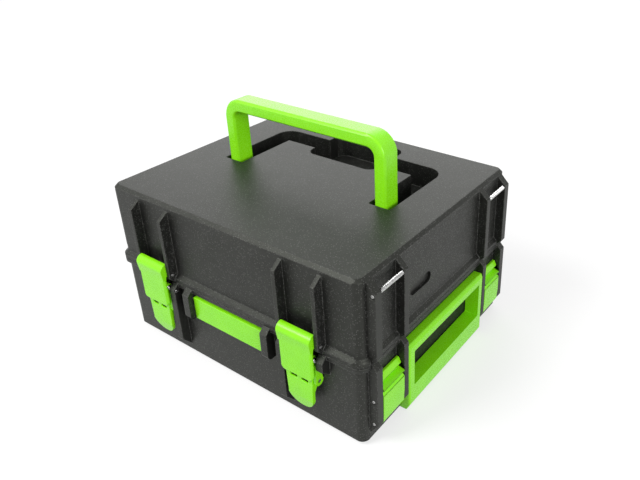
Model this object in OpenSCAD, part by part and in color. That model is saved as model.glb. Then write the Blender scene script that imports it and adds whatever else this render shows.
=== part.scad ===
// Hard tool case with a hinged lid. Two draw latches close the front, a bail
// handle folds down into the lid, a carrying handle swings on each side, and
// four side latches hook this case to the next one in a stack.
// The origin is the centre of the underside, on the floor, and -Y is the front.
// Wall features are drawn in (out, up): the distance out of the plain wall face,
// and the height above the floor.

/* [Case] */
// Width over the plain side walls
body_w = 230; // [200:1:280]
// Depth over the plain front and rear walls
body_d = 186; // [176:1:230]
// Height from the floor to the top of the lid
body_h = 128; // [124:1:160]
// Height of the joint between the base and the lid
seam_z = 66; // [64:1:72]
// Radius of the upright corners
corner_r = 6; // [5:0.5:7]
// Thickness of the walls
wall = 4; // [3.6:0.2:5]
// Thickness of the floor of the base
floor_t = 3.5; // [2.5:0.5:5]
// Thickness of the top of the lid
top_t = 3; // [2.5:0.5:4]
// Bevel round the top of the lid
top_bevel = 2.5; // [1.5:0.5:2.5]
// Bevel round the underside of the base
foot_bevel = 3; // [1:0.5:3]

/* [Seam] */
// Gap between the rims of the base and the lid
seam_gap = 0.3; // [0.2:0.05:0.5]
// How far the rim stands out of the wall
rim_out = 2.9; // [2:0.1:3.5]
// Height of the upright band of each rim
rim_h = 3.2; // [2.5:0.1:4]
// Height of the tongue that centres the lid on the base
tongue_h = 3; // [2:0.5:4]
// Thickness of that tongue
tongue_t = 1.6; // [1.2:0.1:1.6]
// Clearance between the tongue and the lid
tongue_gap = 0.4; // [0.3:0.1:0.6]

/* [Ribs] */
// How far the ribs of the front and rear walls stand out
front_reach = 7.2; // [7:0.1:8]
// How far the ribs of the side walls stand out
side_reach = 6.8; // [6.6:0.1:7.2]
// Thickness of the ribs of the lid's front wall
lid_rib_t = 3.2; // [2.8:0.1:4]
// Thickness of the ribs of the base's front wall
base_rib_t = 5.5; // [4.5:0.5:6]
// Thickness of the side ribs next to the corners
corner_rib_t = 6.1; // [5:0.1:7]
// Thickness of the side ribs next to the carrying handle
handle_rib_t = 4.9; // [4:0.1:6]
// Height at which the ribs of the base reach their full depth
rib_foot_z = 17; // [15:0.5:17]

/* [Pins] */
// Radius of the steel pins
pin_r = 1.5; // [1.2:0.1:1.6]
// Radial clearance of a part that turns on a pin
run_fit = 0.08; // [0.05:0.01:0.1]
// Radial clearance of a pin in the body that holds it
hold_fit = 0.02; // [0:0.01:0.05]

/* [Front latches] */
// Distance from the middle of the case to the middle of a latch
latch_x = 69.7; // [64:0.1:74]
// Width of the bay between the ribs
bay_w = 28.4; // [26:0.2:30]
// Clearance at each side of a moving part between ribs
side_play = 0.4; // [0.3:0.05:0.6]
// Outer face of the lever plate
lever_out = 10.4; // [10.2:0.1:11]
// Thickness of the lever plate
lever_t = 2.4; // [2:0.1:2.4]
// Radius of the roll along the top of the lever
roll_r = 5; // [4.6:0.1:5.2]
// Length of the narrow finger tab under the lever's pivot
tab_l = 26; // [20:0.5:28]

/* [Top handle] */
// Inner half width of the handle
bail_in = 66; // [62:0.5:66]
// Thickness of its legs and bar
bail_t = 10; // [8:0.5:10]
// Depth of its legs and bar from front to rear
bail_d = 16.4; // [14:0.2:16.4]
// Height of its bar above the lid
bail_rise = 51; // [46:0.5:51]
// Outer radius of its corners
bail_r = 16; // [13:0.5:20]
// Bevel along its edges
bail_bevel = 1.6; // [1:0.1:2]
// Distance from the middle of the case forward to its pivot
bail_front = 3.5; // [3:0.5:4]

/* [Lid recess] */
// Depth of the recess that takes the folded handle
recess_depth = 19; // [19:0.5:21]
// Gap between a leg of the handle and each side of its channel
leg_gap = 4; // [3:0.5:6]
// Thickness of the recess walls
tub_t = 3; // [2:0.5:3]

/* [Side handles] */
// Outer face of a side handle
grip_out = 7.2; // [6.8:0.1:7.4]
// How far a side handle reaches into its pocket in the wall
grip_in = 4; // [3:0.5:4]
// Width of its upright posts
grip_post = 6; // [4:0.5:8]
// Height of the lower edge of its finger opening
grip_bar_z = 20.5; // [16:0.5:22]
// Height of the upper edge of its finger opening
grip_beam_z = 49.5; // [44:0.5:50]

/* [Hidden] */
$fn = 48;

charcoal = "#3b3c3e";
lime = "#86d11f";
steel = "#c9cbcc";

half_w = body_w / 2;
half_d = body_d / 2;
sink = 1;                       // how far a rib goes into the wall that carries it
cut = 1;                        // how far a cutter goes past the face that it cuts
turn_gap = 0.3;                 // gap between a part that turns and what it passes
lid_z = seam_z + seam_gap;      // underside of the lid
bore_r = pin_r + run_fit;
seat_r = pin_r + hold_fit;

// Ribs
lid_rib_top = 5;                // front ribs start this far under the top of the lid
lid_rib_slope = 5;              // and reach full depth this far under that
rib_foot_drop = 8.5;            // the ribs of the base run back to the wall over this height
stub_l = 11.2;                  // full-depth length of the short outer rib beside a latch
stub_slope = 6;                 // height over which its foot runs back to the wall

// Side bays, between a corner rib and a handle rib
bay_out_y = half_d - corner_r - 0.1 - corner_rib_t;
side_bay_w = 24.2;
bay_in_y = bay_out_y - side_bay_w;
bay_mid_y = (bay_in_y + bay_out_y) / 2;
handle_half = bay_in_y - handle_rib_t - side_play;

// Front latch: keeper pin on the lid, link pin on the base, pivot of the lever
keeper = [4, seam_z + 7];
link_at = [4.8, seam_z - 6];
pivot_drop = 22.5;
pivot = [3.8, seam_z - pivot_drop];
latch_w = bay_w - 2 * side_play;
barrel_r = 2.7;                 // link round its pin
ear_r = 3.5;                    // link ears round the lever's pivot
ear_t = 2.2;
barrel_half = 10.4;             // half length of the barrel, which leaves the pin bare beside it
fork_low = 8.2;                 // the bar of the fork lies between these depths under the link pin
fork_high = 3.2;
fork_t = 3.6;
tab_w = latch_w - 2 * (ear_t + turn_gap);
roll = [6.4, seam_z + 10.7];
roll_back = keeper[0] + pin_r + turn_gap;
lever_in = lever_out - lever_t;
hub_r = 3.2;                    // lever round its pivot
step_z = pivot[1] + 3;          // where the wide plate ends and the tab begins
tab_front = 8.2;
tab_t = 2.8;
tab_taper = 0.8;                // how much narrower each side of the tab is at its end
tab_round = 10;
brace = 10;                     // the hub thins out to the tab over this height
scoop = [15, 8, 1.6];           // width, height and depth of the finger scoop
edge_bevel = 1.2;               // bevel along the upright front edges
plate_corner = 3;               // bevel from the plate's sides in to the tab
brow = 7.5;                     // slope under the roll runs down over this height
gusset = 6.5;
window = [5.8, 4.5];            // two openings through the tab
window_x = 4.7;
pivot_pin_in = window_x + window[0] / 2 + 0.4;  // a short pin at each side ends beside a window

// Latches that join stacked cases
stack_pin = 3.4;                // distance of their pins out of the wall
stack_pivot = [stack_pin, 17];
stack_park = [stack_pin, 36];
stack_catch = [4.6, body_h - 11];
stack_w = side_bay_w - 2 * turn_gap;
hook_back = 2.3;                // face behind the caught pin while the latch is parked
catch_below = stack_catch - [0, body_h] - stack_pivot;
hook_arm = norm(catch_below);
hook_out = hook_back + pin_r + 0.1 - stack_pivot[0];
hook = stack_pivot + [hook_out, sqrt(hook_arm * hook_arm - hook_out * hook_out)];
shelf_z = hook[1] - pin_r - 0.1;
jaw_z = hook[1] + pin_r + 0.2;

// Top handle and its recess
bail_at = [-bail_front, body_h - 9.7];
bail_z = body_h + bail_rise;
recess_z = body_h - recess_depth;
hub_bail_r = bail_d / 2;
recess_half = bail_in + bail_t + leg_gap;
island_half = bail_in - leg_gap;        // island that the handle goes round
bail_pin_r = 2;
bail_pin_in = 2;                // how far the pins go into the recess walls
recess_front = bail_at[0] - hub_bail_r - 0.6;
bar_reach = bail_z - bail_at[1];
bar_front = bail_at[0] + bar_reach - bail_t - 5.2;
recess_rear = bail_at[0] + bar_reach + 3.8;
recess_r = 13;
finger_half = 33;               // finger well in the middle of the recess
finger_front = bar_front - 11;
finger_rear = recess_rear + 16;
finger_r = 8;
boss_r = 6;
boss_gap = 0.35;

// Side handles
grip_at = [3.9, seam_z - 13];
grip_r = grip_out - grip_at[0];
grip_foot = 1;
grip_top = grip_at[1] + grip_r;
grip_toe = [2.8, 5.4];          // bevel along the lower front edge
grip_bevel = 2;
grip_pin_l = 6;
pocket_gap = 0.6;
pocket_in = grip_in + pocket_gap;
pocket_top = grip_top + pocket_gap;
pocket_half = handle_half + side_play;

// Nameplate between two end blocks
plate_half = 35;
plate_t = 3;
plate_low = 41;
plate_high = seam_z - rim_h - rim_out - 0.2;
block_x = [35.4, 41.6];
block_round = 4;

// Hinges
hinge = [6.5, seam_z];
knuckle_r = 4.3;
hinge_x = latch_x;
lug_half = 13.3;
hinge_half = lug_half + side_play + base_rib_t;

// Oblong dimple in the right wall of the lid
dimple_y = -27.5;
dimple_drop = 37.3;
dimple_z = body_h - dimple_drop;
dimple_l = 25;
dimple_h = 8.4;
dimple_depth = 2;

// Places what is drawn for a wall with its middle at x or y along that wall
module at_front(x = 0) translate([x, -half_d, 0]) rotate(180) children();
module at_back(x = 0) translate([x, half_d, 0]) children();
module at_side(side, y = 0) translate([side * half_w, y, 0]) rotate(-90 * side) children();

// Children, and their mirror image on the left or at the rear
module both_sides() {
    children();
    mirror([1, 0, 0]) children();
}
module both_ends() {
    children();
    mirror([0, 1, 0]) children();
}

// Carries an (out, up) outline along the wall from a to b
module along(a, b) translate([a, 0, 0]) rotate([90, 0, 90]) linear_extrude(b - a) children();

// Round bar or bore along the wall from a to b, at an (out, up) place
module rod(a, b, at, r) translate([a, at[0], at[1]]) rotate([0, 90, 0]) cylinder(h = b - a, r = r);

// Block with the outline of the case, grown by out0 at z0 and by out1 at z1
module block(out0, out1, z0, z1) {
    x = half_w - corner_r;
    y = half_d - corner_r;
    r0 = corner_r + out0;
    r1 = corner_r + out1;
    for (sx = [-x, x], sy = [-y, y])
        translate([sx, sy, z0]) cylinder(h = z1 - z0, r1 = r0, r2 = r1);
    translate([-x, 0, 0]) rotate([90, 0, 90]) linear_extrude(2 * x)
        polygon([[-y - r0, z0], [y + r0, z0], [y + r1, z1], [-y - r1, z1]]);
    translate([0, y, 0]) rotate([90, 0, 0]) linear_extrude(2 * y)
        polygon([[-x - r0, z0], [x + r0, z0], [x + r1, z1], [-x - r1, z1]]);
}

// Rectangle with round corners
module rounded(low, high, r) {
    size = high - low;
    translate(low + [r, 0]) square(size - [2 * r, 0]);
    translate(low + [0, r]) square(size - [0, 2 * r]);
    for (x = [low[0] + r, high[0] - r], y = [low[1] + r, high[1] - r])
        translate([x, y]) circle(r);
}

// Clears the rim from the latch bays and the hinges
module rim_breaks() {
    depth = sink + rim_out + cut;
    low = seam_z - rim_h - rim_out - cut;
    height = 2 * (rim_h + rim_out + cut);
    both_sides() {
        at_front(latch_x) translate([-bay_w / 2, -sink, low]) cube([bay_w, depth, height]);
        at_back(hinge_x) translate([-hinge_half - side_play, -sink, low])
            cube([2 * (hinge_half + side_play), depth, height]);
    }
}

// ---- Lid ----

module lid_front_rib() polygon([
    [-sink, lid_z], [rim_out, lid_z], [front_reach, lid_z + front_reach - rim_out],
    [front_reach, body_h - lid_rib_top - lid_rib_slope], [0, body_h - lid_rib_top],
    [-sink, body_h - lid_rib_top]
]);

module lid_side_rib() polygon([
    [-sink, lid_z], [rim_out, lid_z], [side_reach, lid_z + side_reach - rim_out],
    [side_reach, body_h - top_bevel - side_reach], [-top_bevel, body_h]
]);

// Middle lug of a hinge, which hangs from the rear wall of the lid
module lid_lug() {
    translate(hinge) circle(knuckle_r);
    polygon([
        [-sink, lid_z], [hinge[0] + knuckle_r, lid_z], [front_reach, seam_z + 8],
        [front_reach, body_h - lid_rib_top - lid_rib_slope], [0, body_h - lid_rib_top],
        [-sink, body_h - lid_rib_top]
    ]);
}

// Outline of the recess, or of the tub round it when it is grown
module recess_outline(grow) {
    g = [grow, grow];
    difference() {
        union() {
            rounded([-recess_half, recess_front] - g, [recess_half, recess_rear] + g, recess_r + grow);
            translate([-recess_half, recess_front] - g)
                square([2 * recess_half, recess_rear - recess_front - recess_r] + 2 * g);
        }
        translate([-island_half + grow, recess_front - tub_t - cut])
            square([2 * (island_half - grow), bar_front - grow - recess_front + tub_t + cut]);
    }
    rounded([-finger_half, finger_front] - g, [finger_half, finger_rear] + g, finger_r + grow);
}

module lid_hollow() {
    block(-wall, -wall, lid_z - cut, body_h - top_t);
    relief = tongue_t + tongue_gap - wall;
    block(relief, relief, lid_z - cut, seam_z + tongue_h + tongue_gap);
}

module lid_box() difference() {
    union() {
        block(0, 0, lid_z, body_h - top_bevel);
        block(0, -top_bevel, body_h - top_bevel, body_h);
        difference() {
            union() {
                block(rim_out, rim_out, lid_z, seam_z + rim_h);
                block(rim_out, 0, seam_z + rim_h, seam_z + rim_h + rim_out);
            }
            rim_breaks();
        }
    }
    lid_hollow();
}

module lid_ribs() {
    both_sides() {
        for (a = [-bay_w / 2 - lid_rib_t, bay_w / 2])
            at_front(latch_x) along(a, a + lid_rib_t) lid_front_rib();
        at_back(hinge_x) along(-lug_half, lug_half) lid_lug();
        both_ends() at_side(1) {
            along(bay_in_y - handle_rib_t, bay_in_y) lid_side_rib();
            along(bay_out_y, bay_out_y + corner_rib_t) lid_side_rib();
        }
    }
}

module lid_bores() {
    both_sides() {
        at_front(latch_x)
            rod(-bay_w / 2 - lid_rib_t - cut, bay_w / 2 + lid_rib_t + cut, keeper, seat_r);
        at_back(hinge_x) rod(-lug_half - cut, lug_half + cut, hinge, bore_r);
        both_ends() at_side(1)
            rod(bay_in_y - handle_rib_t + sink, bay_out_y + corner_rib_t + cut, stack_catch, seat_r);
        rod(island_half - bail_pin_in, recess_half + bail_pin_in, bail_at, bail_pin_r + hold_fit);
    }
}

// Bosses beside each leg of the top handle
module bail_bosses() both_sides() {
    rod(island_half - sink, bail_in - boss_gap, bail_at, boss_r);
    rod(bail_in + bail_t + boss_gap, recess_half + sink, bail_at, boss_r);
}

module dimple() at_side(1, dimple_y) {
    reach = (dimple_l - dimple_h) / 2;
    translate([0, cut, dimple_z]) rotate([90, 0, 0]) linear_extrude(dimple_depth + cut) {
        square([2 * reach, dimple_h], center = true);
        for (x = [-reach, reach]) translate([x, 0]) circle(dimple_h / 2);
    }
}

module lid_shell() color(charcoal) difference() {
    union() {
        difference() {
            union() {
                lid_box();
                translate([0, 0, recess_z - tub_t])
                    linear_extrude(recess_depth + tub_t - sink) recess_outline(tub_t);
            }
            translate([0, 0, recess_z]) linear_extrude(recess_depth + cut) recess_outline(0);
        }
        lid_ribs();
        bail_bosses();
    }
    lid_bores();
    dimple();
}

// ---- Base ----

module base_rib(reach) polygon([
    [-sink, rib_foot_z - rib_foot_drop], [0, rib_foot_z - rib_foot_drop], [reach, rib_foot_z],
    [reach, seam_z - reach + rim_out], [rim_out, seam_z], [-sink, seam_z]
]);

module base_stub() polygon([
    [-sink, seam_z - stub_l - stub_slope], [0, seam_z - stub_l - stub_slope],
    [front_reach, seam_z - stub_l], [front_reach, seam_z - front_reach + rim_out],
    [rim_out, seam_z], [-sink, seam_z]
]);

// Block at each end of the nameplate, with a round lower edge
module end_block() {
    top = seam_z - front_reach + rim_out;
    polygon([
        [-sink, plate_low], [front_reach - block_round, plate_low],
        [front_reach, plate_low + block_round], [front_reach, top], [rim_out, seam_z], [-sink, seam_z]
    ]);
    translate([front_reach - block_round, plate_low + block_round]) circle(block_round);
}

module base_hinge_rib() {
    translate(hinge) circle(knuckle_r);
    polygon([
        [-sink, rib_foot_z - rib_foot_drop], [0, rib_foot_z - rib_foot_drop],
        [front_reach, rib_foot_z], [front_reach, seam_z - 8],
        [hinge[0] + knuckle_r, seam_z], [-sink, seam_z]
    ]);
}

module base_box() difference() {
    union() {
        block(-foot_bevel, 0, 0, foot_bevel);
        block(0, 0, foot_bevel, seam_z);
        block(tongue_t - wall, tongue_t - wall, seam_z - sink, seam_z + tongue_h);
        difference() {
            union() {
                block(0, rim_out, seam_z - rim_h - rim_out, seam_z - rim_h);
                block(rim_out, rim_out, seam_z - rim_h, seam_z);
            }
            rim_breaks();
        }
    }
    block(-wall, -wall, floor_t, seam_z + tongue_h + cut);
}

module base_ribs() both_sides() {
    at_front(latch_x) {
        along(bay_w / 2, bay_w / 2 + base_rib_t) base_rib(front_reach);
        along(-bay_w / 2 - base_rib_t, -bay_w / 2) base_stub();
    }
    at_front(0) along(-block_x[1], -block_x[0]) end_block();
    for (a = [-hinge_half, hinge_half - base_rib_t])
        at_back(hinge_x) along(a, a + base_rib_t) base_hinge_rib();
    both_ends() at_side(1) {
        along(bay_in_y - handle_rib_t, bay_in_y) base_rib(side_reach);
        along(bay_out_y, bay_out_y + corner_rib_t) base_rib(side_reach);
    }
}

module base_bores() both_sides() {
    at_front(latch_x) rod(-bay_w / 2 - base_rib_t + sink, bay_w / 2 + base_rib_t + cut, link_at, seat_r);
    at_back(hinge_x) rod(-hinge_half - cut, hinge_half + cut, hinge, seat_r);
    both_ends() at_side(1) {
        for (at = [stack_pivot, stack_park])
            rod(bay_in_y - handle_rib_t + sink, bay_out_y + corner_rib_t + cut, at, seat_r);
        rod(handle_half - cut, bay_in_y - sink, grip_at, seat_r);
    }
}

// Pocket for a side handle, open below
module grip_pockets() both_sides() at_side(1) along(-pocket_half, pocket_half)
    translate([-pocket_in, -cut]) square([pocket_in + cut, pocket_top + cut]);

// Walls round those pockets, inside the base
module pocket_walls() both_sides() at_side(1) along(-pocket_half - wall, pocket_half + wall) {
    low = floor_t - sink;
    translate([-pocket_in - wall, low]) square([pocket_in + wall - sink, pocket_top + wall - low]);
}

module base_shell() color(charcoal) difference() {
    union() {
        base_box();
        pocket_walls();
        base_ribs();
    }
    grip_pockets();
    base_bores();
}

module nameplate() color(lime) at_front() along(-plate_half, plate_half)
    translate([0, plate_low + 0.4]) square([plate_t, plate_high - plate_low - 0.4]);

// ---- Top handle ----

// Rectangle a by b with bevelled corners, about its middle
module bevelled(a, b, bevel) polygon([
    [-a / 2 + bevel, -b / 2], [a / 2 - bevel, -b / 2], [a / 2, -b / 2 + bevel], [a / 2, b / 2 - bevel],
    [a / 2 - bevel, b / 2], [-a / 2 + bevel, b / 2], [-a / 2, b / 2 - bevel], [-a / 2, -b / 2 + bevel]
]);

module top_handle() color(lime) translate([0, bail_at[0], 0]) difference() {
    leg_x = bail_in + bail_t / 2;
    bend_x = bail_in + bail_t - bail_r;
    bend_z = bail_z - bail_r;
    union() {
        both_sides() {
            translate([leg_x, 0, bail_at[1]])
                linear_extrude(bend_z - bail_at[1]) bevelled(bail_t, bail_d, bail_bevel);
            translate([bend_x, 0, bend_z]) rotate([90, 0, 0]) rotate_extrude(angle = 90)
                translate([bail_r - bail_t / 2, 0]) bevelled(bail_t, bail_d, bail_bevel);
            translate([leg_x, 0, bail_at[1]]) rotate([0, 90, 0]) rotate_extrude() intersection() {
                bevelled(2 * hub_bail_r, bail_t, bail_bevel);
                translate([0, -bail_t]) square(2 * bail_t);
            }
        }
        translate([-bend_x, 0, bail_z - bail_t / 2]) rotate([0, 90, 0])
            linear_extrude(2 * bend_x) bevelled(bail_t, bail_d, bail_bevel);
    }
    both_sides() rod(bail_in - cut, bail_in + bail_t + cut, [0, bail_at[1]], bail_pin_r + run_fit);
}

module top_handle_pins() color(steel)
    both_sides() rod(island_half - bail_pin_in, recess_half + bail_pin_in, bail_at, bail_pin_r);

// ---- Side handles ----

// Plan of a plate, in (x, out), with its upright front edges bevelled
module plate_plan(half, front, rear) polygon([
    [-half, rear], [half, rear], [half, front - edge_bevel], [half - edge_bevel, front],
    [-half + edge_bevel, front], [-half, front - edge_bevel]
]);

module side_handle(side) color(lime) at_side(side) difference() {
    opening = handle_half - grip_post;
    intersection() {
        along(-handle_half, handle_half) polygon([
            [-grip_in, grip_foot], [grip_out - grip_toe[0], grip_foot],
            [grip_out, grip_foot + grip_toe[1]], [grip_out, grip_top - grip_bevel],
            [grip_out - grip_bevel, grip_top], [-grip_in + grip_bevel, grip_top],
            [-grip_in, grip_top - grip_bevel]
        ]);
        linear_extrude(seam_z) plate_plan(handle_half, grip_out, -grip_in);
    }
    translate([0, grip_out + cut, 0]) rotate([90, 0, 0]) linear_extrude(grip_out + grip_in + 2 * cut)
        rounded([-opening, grip_bar_z], [opening, grip_beam_z], 1);
    for (a = [-handle_half - cut, handle_half - grip_pin_l - turn_gap])
        rod(a, a + grip_pin_l + turn_gap + cut, grip_at, bore_r);
}

module side_handle_pins() color(steel) both_sides() both_ends() at_side(1)
    rod(handle_half - grip_pin_l, bay_in_y - sink, grip_at, pin_r);

// ---- Front latches ----

// Swinging fork, on the pin in the base, that carries the lever's pivot
module latch_link(side) color(lime) at_front(side * latch_x) difference() {
    union() {
        rod(-barrel_half, barrel_half, link_at, barrel_r);
        along(-barrel_half, barrel_half) translate(link_at - [fork_t / 2, fork_low])
            square([fork_t, fork_low]);
        along(-latch_w / 2, latch_w / 2) translate(link_at - [fork_t / 2, fork_low])
            square([fork_t, fork_low - fork_high]);
        for (a = [-latch_w / 2, latch_w / 2 - ear_t]) along(a, a + ear_t) {
            translate(pivot) circle(ear_r);
            polygon([
                link_at - [fork_t / 2, fork_high], link_at + [fork_t / 2, -fork_high],
                pivot + [ear_r, 0], pivot - [ear_r, 0]
            ]);
        }
    }
    rod(-barrel_half - cut, barrel_half + cut, link_at, bore_r);
    rod(-latch_w / 2 - cut, latch_w / 2 + cut, pivot, seat_r);
}

module latch_pivot_pin(side) color(steel)
    at_front(side * latch_x) both_sides() rod(pivot_pin_in, latch_w / 2, pivot, pin_r);

// Front outlines of the lever's wide plate and of its tab, in (x, up)
module plate_outline() {
    half = latch_w / 2;
    polygon([
        [-tab_w / 2, step_z], [tab_w / 2, step_z], [half, step_z + plate_corner],
        [half, roll[1] + roll_r], [-half, roll[1] + roll_r], [-half, step_z + plate_corner]
    ]);
}
module tab_outline() {
    low = pivot[1] - tab_l;
    wide = tab_w / 2;
    slim = wide - tab_taper;
    round_z = low + tab_round;
    polygon([
        [-slim, round_z], [-slim + tab_round, low], [slim - tab_round, low], [slim, round_z],
        [wide, pivot[1]], [wide, pivot[1] + 2 * plate_corner + gusset],
        [-wide, pivot[1] + 2 * plate_corner + gusset], [-wide, pivot[1]]
    ]);
    for (x = [-slim + tab_round, slim - tab_round]) translate([x, round_z]) circle(tab_round);
}

// Makes a solid of a front outline in (x, up), deeper than any latch
module front_prism() translate([0, 2 * roll_r + lever_out, 0]) rotate([90, 0, 0])
    linear_extrude(2 * (2 * roll_r + lever_out)) children();

// Lever: a roll that closes over the keeper pin, a wide plate, and the finger tab
module latch_lever(side) color(lime) at_front(side * latch_x) difference() {
    low = pivot[1] - tab_l;
    tab_back = tab_front - tab_t;
    union() {
        intersection() {
            along(-latch_w / 2, latch_w / 2)
                translate([lever_in, step_z]) square([lever_t, roll[1] - brow - step_z]);
            front_prism() plate_outline();
            translate([0, 0, step_z]) linear_extrude(roll[1] - step_z)
                plate_plan(latch_w / 2, lever_out, 0);
        }
        along(-latch_w / 2, latch_w / 2) {
            polygon([
                [lever_in, roll[1] - brow], [lever_out, roll[1] - brow],
                roll + [roll_r, -sink], roll + [roll_r, 0], roll
            ]);
            intersection() {
                translate(roll) circle(roll_r);
                translate([roll_back, roll[1] - roll_r]) square(2 * roll_r);
            }
        }
        intersection() {
            along(-tab_w / 2, tab_w / 2) {
                translate(pivot) circle(hub_r);
                polygon([
                    pivot - [0, hub_r], [tab_front, pivot[1] - hub_r], [tab_front, step_z],
                    [lever_in + 1, step_z], [lever_in + 1, pivot[1] + gusset + 1],
                    [lever_in, pivot[1] + gusset], pivot + [0, hub_r]
                ]);
                polygon([
                    pivot - [hub_r, 0], [tab_back, pivot[1] - brace], [tab_back, low],
                    [tab_front, low], [tab_front, pivot[1]]
                ]);
            }
            front_prism() tab_outline();
            translate([0, 0, low]) linear_extrude(tab_l + step_z) plate_plan(tab_w / 2, tab_front + 1, 0);
        }
    }
    both_sides() rod(window_x, tab_w / 2 + cut, pivot, bore_r);
    along(-scoop[0] / 2, scoop[0] / 2) polygon([
        [tab_front - scoop[2], low], [tab_front, low + scoop[1]], [tab_front + cut, low + scoop[1]],
        [tab_front + cut, low - cut], [tab_front - scoop[2], low - cut]
    ]);
    for (x = [-window_x, window_x])
        translate([x - window[0] / 2, 0, pivot[1] - window[1] / 2])
            cube([window[0], tab_front + cut, window[1]]);
}

module latch_base_pins() color(steel) both_sides() at_front(latch_x)
    rod(-bay_w / 2 - base_rib_t + sink, bay_w / 2 + base_rib_t, link_at, pin_r);

module latch_keeper_pins() color(steel) both_sides() at_front(latch_x)
    rod(-bay_w / 2 - lid_rib_t, bay_w / 2 + lid_rib_t, keeper, pin_r);

// ---- Latches between stacked cases ----

// Parked upright against its park pin; it swings out and down to catch the pin
// near the top of the case below
module stack_latch(side, end) color(lime) at_side(side, end * bay_mid_y) difference() {
    r = stack_pin - turn_gap;
    back = stack_park[0] + pin_r + turn_gap;
    face = 7;
    shoulder = stack_park[1] + pin_r + turn_gap;
    along(-stack_w / 2, stack_w / 2) {
        translate(stack_pivot) circle(r);
        polygon([
            stack_pivot, stack_pivot + [r, 0], [face, stack_pivot[1] + 8],
            [face, shelf_z - 6.2], [face - 0.4, shelf_z - 5.6], [face - 1.8, shelf_z - 4.2],
            [face + 0.2, shelf_z - 1.6], [face + 0.2, shelf_z - 1.1], [hook_back, shelf_z + 0.4],
            [hook_back, jaw_z], [hook_back + 1.9, jaw_z + 0.2], [hook_back + 1.9, jaw_z + 0.9],
            [hook_back, jaw_z + 4.7], [turn_gap + 0.1, jaw_z + 4.7], [turn_gap + 0.1, shoulder],
            [back, shoulder], [back, stack_pivot[1] + 6], [stack_pivot[0] - r + 0.4, stack_pivot[1] + 1]
        ]);
    }
    rod(-stack_w / 2 - cut, stack_w / 2 + cut, stack_pivot, bore_r);
}

module side_pins(at) color(steel) both_sides() both_ends() at_side(1)
    rod(bay_in_y - handle_rib_t + sink, bay_out_y + corner_rib_t, at, pin_r);

// ---- Hinges ----

module hinge_pins() color(steel) both_sides() at_back(hinge_x) rod(-hinge_half, hinge_half, hinge, pin_r);

base_shell();
lid_shell();
nameplate();
top_handle();
top_handle_pins();
side_handle(-1);  // side_handle_left
side_handle(1);  // side_handle_right
side_handle_pins();
latch_link(-1);  // latch_link_left
latch_link(1);  // latch_link_right
latch_lever(-1);  // latch_lever_left
latch_lever(1);  // latch_lever_right
latch_pivot_pin(-1);  // latch_pivot_pin_left
latch_pivot_pin(1);  // latch_pivot_pin_right
latch_base_pins();
latch_keeper_pins();
stack_latch(-1, -1);  // stack_latch_left_front
stack_latch(-1, 1);  // stack_latch_left_rear
stack_latch(1, -1);  // stack_latch_right_front
stack_latch(1, 1);  // stack_latch_right_rear
side_pins(stack_pivot);  // stack_pivot_pins
side_pins(stack_park);  // stack_park_pins
side_pins(stack_catch);  // stack_catch_pins
hinge_pins();
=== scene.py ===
from math import cos, pi, radians, sin

import bmesh
import bpy
from mathutils import Matrix, Vector


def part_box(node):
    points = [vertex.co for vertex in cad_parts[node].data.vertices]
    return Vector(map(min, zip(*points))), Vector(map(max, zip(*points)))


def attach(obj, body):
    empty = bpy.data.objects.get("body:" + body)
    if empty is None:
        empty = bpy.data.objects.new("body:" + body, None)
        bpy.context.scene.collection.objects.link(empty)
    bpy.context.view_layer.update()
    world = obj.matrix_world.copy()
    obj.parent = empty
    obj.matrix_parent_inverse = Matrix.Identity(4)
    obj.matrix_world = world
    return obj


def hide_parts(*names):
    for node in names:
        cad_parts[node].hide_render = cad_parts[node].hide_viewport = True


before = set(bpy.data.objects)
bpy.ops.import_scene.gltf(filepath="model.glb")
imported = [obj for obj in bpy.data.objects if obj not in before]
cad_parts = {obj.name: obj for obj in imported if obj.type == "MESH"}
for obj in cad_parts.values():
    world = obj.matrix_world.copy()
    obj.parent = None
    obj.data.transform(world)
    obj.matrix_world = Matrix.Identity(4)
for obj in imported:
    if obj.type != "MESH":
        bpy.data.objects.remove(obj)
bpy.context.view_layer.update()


# ---- Base shell ----
# The lower half of the case, printed in one piece with its ribs, rim and latch
# bays. It is charcoal plastic with a fine sparkling grain, and the nozzle has
# rounded its edges a little.

MM = 0.001


class Value:
    """What a shader node puts out. Python's operators on it add Math nodes."""

    def __init__(self, nodes, socket):
        self.nodes = nodes
        self.socket = socket

    def maths(self, operation, first, second):
        return self.nodes.node("Math", {"operation": operation}, {0: first, 1: second})

    def __add__(self, other):
        return self.maths("ADD", self, other)

    def __mul__(self, other):
        return self.maths("MULTIPLY", self, other)

    def __gt__(self, other):
        return self.maths("GREATER_THAN", self, other)

    __radd__ = __add__
    __rmul__ = __mul__


class Nodes:
    """A tree of shader nodes that is built up one node at a time."""

    def __init__(self, tree):
        self.tree = tree

    def node(self, kind, settings, inputs, output=0):
        made = self.tree.nodes.new("ShaderNode" + kind)
        for name, value in settings.items():
            setattr(made, name, value)
        for name, value in inputs.items():
            self.join(value, made.inputs[name])
        return Value(self, made.outputs[output])

    def join(self, value, socket):
        if isinstance(value, Value):
            self.tree.links.new(value.socket, socket)
        else:
            socket.default_value = value

    def blend(self, mask, a, b):
        """Colour a where the mask is 0 and colour b where it is 1."""
        return self.node("Mix", {"data_type": "RGBA"}, {0: mask, 6: a, 7: b}, 2)


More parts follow.
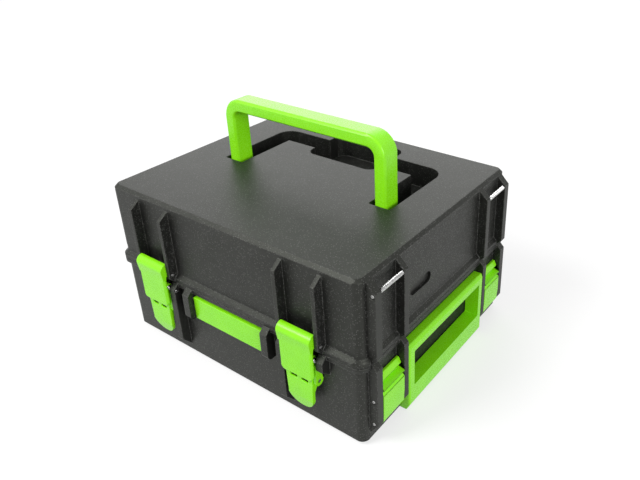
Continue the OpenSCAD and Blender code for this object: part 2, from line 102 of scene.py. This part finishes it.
class Finish(Nodes):
    """A material whose patterns lie on a piece's own coordinates."""

    def __init__(self, name, constants):
        self.material = bpy.data.materials.new(name)
        self.material.use_nodes = True
        super().__init__(self.material.node_tree)
        self.surface = self.tree.nodes["Principled BSDF"]
        for socket, value in constants.items():
            self.surface.inputs[socket].default_value = value
        self.place = self.node("TexCoord", {}, {}, "Object")

    def noise(self, size, detail=2.0):
        """Soft noise from 0 to 1, whose patches are about size metres across."""
        return self.node("TexNoise", {}, {"Vector": self.place, "Scale": 1 / size, "Detail": detail})

    def step(self, value, low, high, out_low=0.0, out_high=1.0):
        """Runs smoothly from out_low to out_high while value goes from low to high."""
        return self.node("MapRange", {"interpolation_type": "SMOOTHSTEP"}, {
            "Value": value, "From Min": low, "From Max": high, "To Min": out_low, "To Max": out_high})

    def relief(self, height, depth):
        """Raises the surface by height times depth metres."""
        bump = self.node("Bump", {}, {"Height": height, "Distance": depth, "Strength": 1.0})
        self.join(bump, self.surface.inputs["Normal"])

    def feed(self, **sockets):
        for name, value in sockets.items():
            self.join(value, self.surface.inputs[name.replace("_", " ")])


# Charcoal plastic: a pebbled skin with scattered bright specks and rubbed edges
EDGE_MARK = "rounded_edge"
# Its gloss is tinted a little green: a painted green cast in the reflections on lid and walls.
charcoal = Finish("charcoal_plastic", {"IOR": 1.41, "Specular Tint": (0.955, 1.0, 0.87, 1)})
pebbles = charcoal.noise(0.8 * MM, 3.0)
clouds = charcoal.noise(12 * MM)
cell = {"Vector": charcoal.place, "Scale": 1 / (0.9 * MM)}
to_speck = charcoal.node("TexVoronoi", {}, cell, "Distance")
speck_pick = charcoal.node("SeparateColor", {}, {0: charcoal.node("TexVoronoi", {}, cell, "Color")})
specks = (speck_pick > 0.7) * charcoal.step(to_speck, 0.45, 0.15)
edges = charcoal.node("Attribute", {"attribute_name": EDGE_MARK}, {}, "Fac")
rubbed = edges * charcoal.step(pebbles, 0.42, 0.6)
mottled = charcoal.blend(
    charcoal.step(pebbles * 0.6 + clouds * 0.4, 0.35, 0.65),
    (0.004, 0.004, 0.0038, 1), (0.012, 0.012, 0.0114, 1))
charcoal.feed(
    Base_Color=charcoal.blend(specks * 0.55 + rubbed * 0.3, mottled, (0.15, 0.15, 0.145, 1)),
    Roughness=charcoal.step(pebbles, 0.3, 0.7, 0.4, 0.52))
charcoal.relief(pebbles + specks * 0.5, 0.08 * MM)


WELD = 0.002 * MM               # corners that lie closer are one corner
FLAT = radians(0.4)             # faces that meet at less than this are one face
SHARP = radians(25)             # edges that turn more than this are rounded
CRISP = radians(50)             # edges that turn more than this are shaded as edges
SHELL_EDGE = 0.4 * MM


def merged_copy(node):
    """A closed mesh of a CAD node with its flat faces in one piece."""
    bm = bmesh.new()
    bm.from_mesh(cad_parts[node].data)
    bmesh.ops.remove_doubles(bm, verts=bm.verts, dist=WELD)
    bmesh.ops.dissolve_limit(bm, angle_limit=FLAT, verts=bm.verts, edges=bm.edges)
    return bm


def rounded_copy(node, width, bm=None, shortest=0.7 * MM):
    """A merged copy with its sharp edges rounded and marked, apart from slim strips and small bores.

    A strip less than about twice the width across has no room for two roundings,
    and would turn inside out.
    """
    bm = bm or merged_copy(node)
    mark = bm.faces.layers.float.new(EDGE_MARK)
    slim = {f for f in bm.faces if f.calc_area() < 1.1 * width * f.calc_perimeter()}
    sharp = [
        e for e in bm.edges
        if e.calc_face_angle() > SHARP and e.calc_length() > shortest and slim.isdisjoint(e.link_faces)]
    rounded = bmesh.ops.bevel(
        bm, geom=sharp, offset=width, offset_type="OFFSET", segments=2, profile=0.5,
        affect="EDGES", clamp_overlap=False, material=-1)
    for face in rounded["faces"]:
        face[mark] = 1.0
    low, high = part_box(node)
    for vert in bm.verts:
        vert.co = Vector(min(max(vert.co[i], low[i]), high[i]) for i in range(3))
    bmesh.ops.triangulate(bm, faces=bm.faces, quad_method="BEAUTY", ngon_method="BEAUTY")
    return bm


def add_piece(bm, name, finishes, body, node):
    """Makes the mesh a shaded piece that stands for a CAD node and rides on its body."""
    for face in bm.faces:
        face.smooth = True
    for edge in bm.edges:
        edge.smooth = edge.calc_face_angle(0) < CRISP
    mesh = bpy.data.meshes.new(name)
    bm.to_mesh(mesh)
    bm.free()
    for finish in finishes:
        mesh.materials.append(finish.material)
    piece = bpy.data.objects.new(name, mesh)
    bpy.context.collection.objects.link(piece)
    flat = piece.modifiers.new("flat_faces", "WEIGHTED_NORMAL")
    flat.keep_sharp = True
    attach(piece, body)
    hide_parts(node)


add_piece(
    rounded_copy("base_shell", SHELL_EDGE), "base_case", [charcoal], "base", "base_shell")


# ---- Hinge pins ----
# Two lengths of M3 steel rod, pushed through the knuckles at the rear. All the
# pins of the case that show are sawn from the same bright threaded rod.

PITCH = 0.75 * MM
THREAD_DEPTH = 0.4 * MM
THREAD_STEPS = 12
CHAMFER = 0.25 * MM
CREST_MARK = "thread_crest"

threaded_steel = Finish("threaded_steel", {"Metallic": 1.0})
steel_marks = threaded_steel.noise(1.5 * MM, 3.0)
crest = threaded_steel.node("Attribute", {"attribute_name": CREST_MARK}, {}, "Fac")
# The thread roots are coloured near black: painted shade in the grooves between the bright crests.
threaded_steel.feed(
    Base_Color=threaded_steel.blend(
        threaded_steel.step(crest, 0.2, 0.85) * threaded_steel.step(steel_marks, 0.3, 0.7, 0.6, 1.0),
        (0.03, 0.03, 0.03, 1), (0.9, 0.9, 0.89, 1)),
    Roughness=threaded_steel.step(steel_marks, 0.3, 0.7, 0.2, 0.34))

sawn_steel = Finish("sawn_steel", {"Metallic": 1.0})
saw_marks = sawn_steel.noise(0.4 * MM)
sawn_steel.feed(
    Base_Color=sawn_steel.blend(saw_marks, (0.2, 0.2, 0.2, 1), (0.4, 0.4, 0.39, 1)),
    Roughness=sawn_steel.step(saw_marks, 0.3, 0.7, 0.45, 0.6))


def solids_of(node):
    """Lowest and highest corner of each solid in a CAD node."""
    bm = merged_copy(node)
    left = set(bm.verts)
    found = []
    while left:
        reached = {left.pop()}
        newest = list(reached)
        while newest:
            near = {e.other_vert(v) for v in newest for e in v.link_edges}
            newest = [v for v in near if v in left]
            left.difference_update(newest)
            reached.update(newest)
        low = Vector(min(v.co[i] for v in reached) for i in range(3))
        high = Vector(max(v.co[i] for v in reached) for i in range(3))
        found.append((low, high))
    bm.free()
    return found


def add_thread(bm, low, high):
    """Adds one threaded rod with sawn ends that fills the box from low to high."""
    size = high - low
    long_way = max(range(3), key=lambda i: size[i])
    axis = Vector(1.0 if i == long_way else 0.0 for i in range(3))
    radius = min(size) / 2
    out = axis.orthogonal().normalized()
    middle = (low + high) / 2
    start = middle - axis * (size[long_way] / 2 + PITCH)
    turns = round(size[long_way] / PITCH) + 2
    rod = bmesh.new()
    mark = rod.verts.layers.float.new(CREST_MARK)
    tooth = [
        rod.verts.new(start + out * (radius - THREAD_DEPTH)),
        rod.verts.new(start + out * radius + axis * PITCH / 2),
        rod.verts.new(start + out * (radius - THREAD_DEPTH) + axis * PITCH)]
    tooth[1][mark] = 1.0
    profile = [rod.edges.new(tooth[:2]), rod.edges.new(tooth[1:])]
    bmesh.ops.spin(
        rod, geom=tooth + profile, cent=start, axis=axis, dvec=axis * PITCH / THREAD_STEPS,
        angle=2 * pi * turns, steps=THREAD_STEPS * turns, use_merge=False, use_duplicate=False)
    bmesh.ops.remove_doubles(rod, verts=rod.verts, dist=0.005 * MM)
    for way in (-1, 1):
        end = middle + axis * way * (size[long_way] / 2 - CHAMFER)
        bmesh.ops.bisect_plane(
            rod, geom=rod.verts[:] + rod.edges[:] + rod.faces[:], plane_co=end, plane_no=axis * way,
            clear_outer=True)
        rim = [
            e for e in rod.edges
            if e.is_boundary and all(abs((v.co - end).dot(axis)) < 0.001 * MM for v in e.verts)]
        face = bmesh.ops.holes_fill(rod, edges=rim)["faces"]
        bmesh.ops.inset_region(rod, faces=face, thickness=CHAMFER, use_even_offset=True)
        bmesh.ops.translate(rod, verts=list({v for f in face for v in f.verts}), vec=axis * way * CHAMFER)
        for sawn in face:
            sawn.material_index = 1
    bmesh.ops.recalc_face_normals(rod, faces=rod.faces)
    mesh = bpy.data.meshes.new("rod")
    rod.to_mesh(mesh)
    rod.free()
    bm.from_mesh(mesh)
    bpy.data.meshes.remove(mesh)


def add_pins(node, body):
    """Threaded rods in place of a CAD node's plain pins."""
    bm = bmesh.new()
    for low, high in solids_of(node):
        add_thread(bm, low, high)
    add_piece(bm, node + "_threaded", [threaded_steel, sawn_steel], body, node)


add_pins("hinge_pins", "base")


# ---- Lid ----
# The upper half, printed in the same charcoal plastic. Its top carries the
# recess that the folded handle drops into, and a finger well behind the bar.

add_piece(rounded_copy("lid_shell", SHELL_EDGE), "lid_case", [charcoal], "lid", "lid_shell")


# ---- Top handle ----
# A bail of glossy lime green plastic, printed flat. It turns on two plain steel
# pins that are hidden in the walls of the lid's recess.

HANDLE_EDGE = 0.5 * MM

lime = Finish("lime_plastic", {"IOR": 1.46})
lime_clouds = lime.noise(11 * MM)
lime_grain = lime.noise(0.7 * MM)
lime.feed(
    Base_Color=lime.blend(
        lime.step(lime_clouds, 0.35, 0.65), (0.25, 0.81, 0.006, 1), (0.27, 0.84, 0.008, 1)),
    Roughness=lime.step(lime_grain, 0.3, 0.7, 0.24, 0.3))
lime.relief(lime_grain, 0.005 * MM)

plain_steel = Finish("plain_steel", {"Metallic": 1.0})
drawn_marks = plain_steel.noise(2 * MM, 3.0)
plain_steel.feed(
    Base_Color=plain_steel.blend(drawn_marks, (0.5, 0.5, 0.49, 1), (0.66, 0.66, 0.65, 1)),
    Roughness=plain_steel.step(drawn_marks, 0.3, 0.7, 0.25, 0.38))


def give_finish(node, finish):
    """Puts a finish on a CAD node whose own shape stays."""
    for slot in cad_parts[node].material_slots:
        slot.material = finish.material


add_piece(
    rounded_copy("top_handle", HANDLE_EDGE), "bail_handle", [lime], "top_handle",
    "top_handle")
give_finish("top_handle_pins", plain_steel)


# ---- Side handles ----
# Two deep frames of the same lime plastic, each hung in a pocket of the side
# wall. Each one swings up on a short plain steel pin at either side.

for side in ("left", "right"):
    node = "side_handle_" + side
    add_piece(
        rounded_copy(node, HANDLE_EDGE), "carry_handle_" + side, [lime], node, node)
give_finish("side_handle_pins", plain_steel)


# ---- Nameplate ----
# A flat lime plate pushed in between the two end blocks of the front wall, and
# left bare.

PLATE_EDGE = 0.4 * MM

add_piece(
    rounded_copy("nameplate", PLATE_EDGE), "front_plate", [lime], "base", "nameplate")


# ---- Front latches ----
# Each draw latch is a lime fork on the base's threaded pin and a lime lever on
# the fork's own pin. The lever's roll closes over the pin of the lid.

FORK_EDGE = 0.3 * MM
LATCH_EDGE = 0.35 * MM
TAB_REACH = 4.4 * MM    # from the lever's pivot out to the front of its finger tab
TAB_SKIN = 1.4 * MM     # thickness that is left round the tab's two windows
HOLLOW_HALF = Vector((9.4 * MM, 0, 4.6 * MM))
TIP_SLOPE = Vector((0, 1.9 * MM, -8.5 * MM))    # how the tab's tip falls back towards its end

# The hollow is far darker than lime plastic would be, so that the two windows
# look as deep as the photograph shows them
# This near-black colour is painted shade on the faces of the hollow behind the windows.
painted_shade_lime = Finish("lime_with_painted_hollow_shade", {"IOR": 1.46, "Roughness": 0.5})
hollow_shade_clouds = painted_shade_lime.noise(3 * MM)
painted_shade_lime.feed(Base_Color=painted_shade_lime.blend(hollow_shade_clouds, (0.008, 0.03, 0.001, 1), (0.014, 0.05, 0.001, 1)))


def without_box(bm, low, high):
    """Cuts the box from low to high out of a mesh and gives the cut the mesh's second finish."""
    box = bmesh.new()
    bmesh.ops.create_cube(box, size=1.0)
    bmesh.ops.scale(box, vec=high - low, verts=box.verts)
    bmesh.ops.translate(box, vec=(low + high) / 2, verts=box.verts)
    parts = []
    for source in (bm, box):
        mesh = bpy.data.meshes.new("part")
        source.to_mesh(mesh)
        source.free()
        parts.append(bpy.data.objects.new("part", mesh))
        bpy.context.collection.objects.link(parts[-1])
    solid, cutter = parts
    cut = solid.modifiers.new("cut", "BOOLEAN")
    cut.object = cutter
    cut.operation = "DIFFERENCE"
    bpy.context.view_layer.update()
    result = bmesh.new()
    result.from_object(solid, bpy.context.evaluated_depsgraph_get())
    for part in parts:
        bpy.data.meshes.remove(part.data)
    slack = 0.01 * MM
    for face in result.faces:
        middle = face.calc_center_median()
        if all(low[i] - slack < middle[i] < high[i] + slack for i in range(3)):
            face.material_index = 1
    return result


def cut_off(bm, place, out):
    """Cuts away all of a closed mesh that lies beyond a plane, and closes it there."""
    bmesh.ops.bisect_plane(
        bm, geom=bm.verts[:] + bm.edges[:] + bm.faces[:], plane_co=place, plane_no=out, clear_outer=True)
    bmesh.ops.holes_fill(bm, edges=[e for e in bm.edges if e.is_boundary])


for side in ("left", "right"):
    link = "latch_link_" + side
    lever = "latch_lever_" + side
    add_piece(rounded_copy(link, FORK_EDGE), "latch_fork_" + side, [lime], link, link)
    pins_low, pins_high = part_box("latch_pivot_pin_" + side)
    pivot = (pins_low + pins_high) / 2
    tab_front = pivot.y - TAB_REACH
    arm = without_box(
        merged_copy(lever),
        Vector((pivot.x, tab_front + TAB_SKIN, pivot.z)) - HOLLOW_HALF,
        Vector((pivot.x, pivot.y + 2 * TAB_REACH, pivot.z)) + HOLLOW_HALF)
    tip_start = Vector((pivot.x, tab_front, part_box(lever)[0].z)) - Vector((0, 0, TIP_SLOPE.z))
    cut_off(arm, tip_start, Vector((0, TIP_SLOPE.z, -TIP_SLOPE.y)))
    arm = rounded_copy(lever, LATCH_EDGE, bm=arm, shortest=0.5 * MM)
    add_piece(arm, "latch_arm_" + side, [lime, painted_shade_lime], lever, lever)
    add_pins("latch_pivot_pin_" + side, link)
add_pins("latch_base_pins", "base")
add_pins("latch_keeper_pins", "lid")


# ---- Latches between stacked cases ----
# Four lime hooks in the side bays of the base, each on a threaded pin and
# parked against a second one. They reach down to the lid pins of a case below.

for side in ("left", "right"):
    for end in ("front", "rear"):
        node = "stack_latch_" + side + "_" + end
        hook = "stack_hook_" + side + "_" + end
        add_piece(rounded_copy(node, LATCH_EDGE), hook, [lime], node, node)
add_pins("stack_pivot_pins", "base")
add_pins("stack_park_pins", "base")
add_pins("stack_catch_pins", "lid")


# ---- Floor, light and camera ----
# White paper on a table in a white room: the paper keeps the case's soft shadow,
# and three soft boxes stand at its front left, at its right and behind its left.

PAPER_WHITE = 0.66      # what the camera sees of the paper on top of its lit colour
ROOM_LEVEL = 0.46       # light that the white room throws on the case


def seen_or_mirrored(nodes):
    """1 where the camera sees a surface straight, in a gloss or through glass, and otherwise 0."""
    rays = ("Camera", "Glossy", "Transmission")
    return sum(nodes.node("LightPath", {}, {}, f"Is {ray} Ray") for ray in rays)


paper = Finish("white_paper", {
    "Base Color": (0.36, 0.36, 0.36, 1), "Roughness": 0.9, "Specular IOR Level": 0.0,
    "Emission Strength": 1.0})
paper_seen = seen_or_mirrored(paper)
paper.feed(Emission_Color=paper.blend(paper_seen, (0, 0, 0, 1), (PAPER_WHITE, PAPER_WHITE, PAPER_WHITE, 1)))

table = bmesh.new()
bmesh.ops.create_grid(table, x_segments=1, y_segments=1, size=6.0)
table_data = bpy.data.meshes.new("table_top")
table.to_mesh(table_data)
table.free()
table_data.materials.append(paper.material)
table_top = bpy.data.objects.new("table_top", table_data)
bpy.context.collection.objects.link(table_top)

world = bpy.data.worlds.new("white_room")
world.use_nodes = True
bpy.context.scene.world = world
room = Nodes(world.node_tree)
room.join(
    room.blend(seen_or_mirrored(room), (ROOM_LEVEL, ROOM_LEVEL, ROOM_LEVEL, 1), (1, 1, 1, 1)),
    world.node_tree.nodes["Background"].inputs["Color"])


def add_soft_box(name, place, width, height, watts):
    """A broad lamp at place that faces the middle of the case."""
    lamp = bpy.data.lights.new(name, "AREA")
    lamp.shape = "RECTANGLE"
    lamp.size = width
    lamp.size_y = height
    lamp.energy = watts
    holder = bpy.data.objects.new(name, lamp)
    holder.location = place
    holder.rotation_mode = "QUATERNION"
    holder.rotation_quaternion = (Vector((0, 0, 0.06)) - Vector(place)).to_track_quat("-Z", "Y")
    bpy.context.collection.objects.link(holder)


add_soft_box("front_box", (-0.75, -1.25, 1.6), 0.9, 0.9, 32.0)
add_soft_box("side_box", (1.55, -0.6, 0.62), 0.9, 0.7, 15.0)
add_soft_box("back_box", (-0.95, 1.35, 0.95), 2.0, 1.0, 11.0)

# The camera stands where the photograph's edges put it
AZIMUTH, ELEVATION, ROLL = radians(34.43), radians(26.31), radians(-0.33)
FOCAL_PX, CENTRE_PX, IMAGE_PX = 653.25, (397.23, 183.46), (640, 480)
back = Vector((sin(AZIMUTH) * cos(ELEVATION), -cos(AZIMUTH) * cos(ELEVATION), sin(ELEVATION)))
right = Vector((cos(AZIMUTH), sin(AZIMUTH), 0))
up = back.cross(right)
camera_data = bpy.data.cameras.new("photo_view")
camera_data.sensor_width = 36
camera_data.lens = FOCAL_PX / IMAGE_PX[0] * camera_data.sensor_width
camera_data.shift_x = (IMAGE_PX[0] / 2 - CENTRE_PX[0]) / IMAGE_PX[0]
camera_data.shift_y = (CENTRE_PX[1] - IMAGE_PX[1] / 2) / IMAGE_PX[0]
camera = bpy.data.objects.new("photo_view", camera_data)
turned = Matrix(((cos(ROLL), sin(ROLL), 0), (-sin(ROLL), cos(ROLL), 0), (0, 0, 1)))
rolled = turned @ Matrix((right, up, back))
place = (back * 549.45 + right * 64.19 + up * 108.19) * MM
camera.matrix_world = Matrix.Translation(place) @ rolled.transposed().to_4x4()
bpy.context.collection.objects.link(camera)
bpy.context.scene.camera = camera

bpy.context.scene.view_settings.view_transform = "Standard"
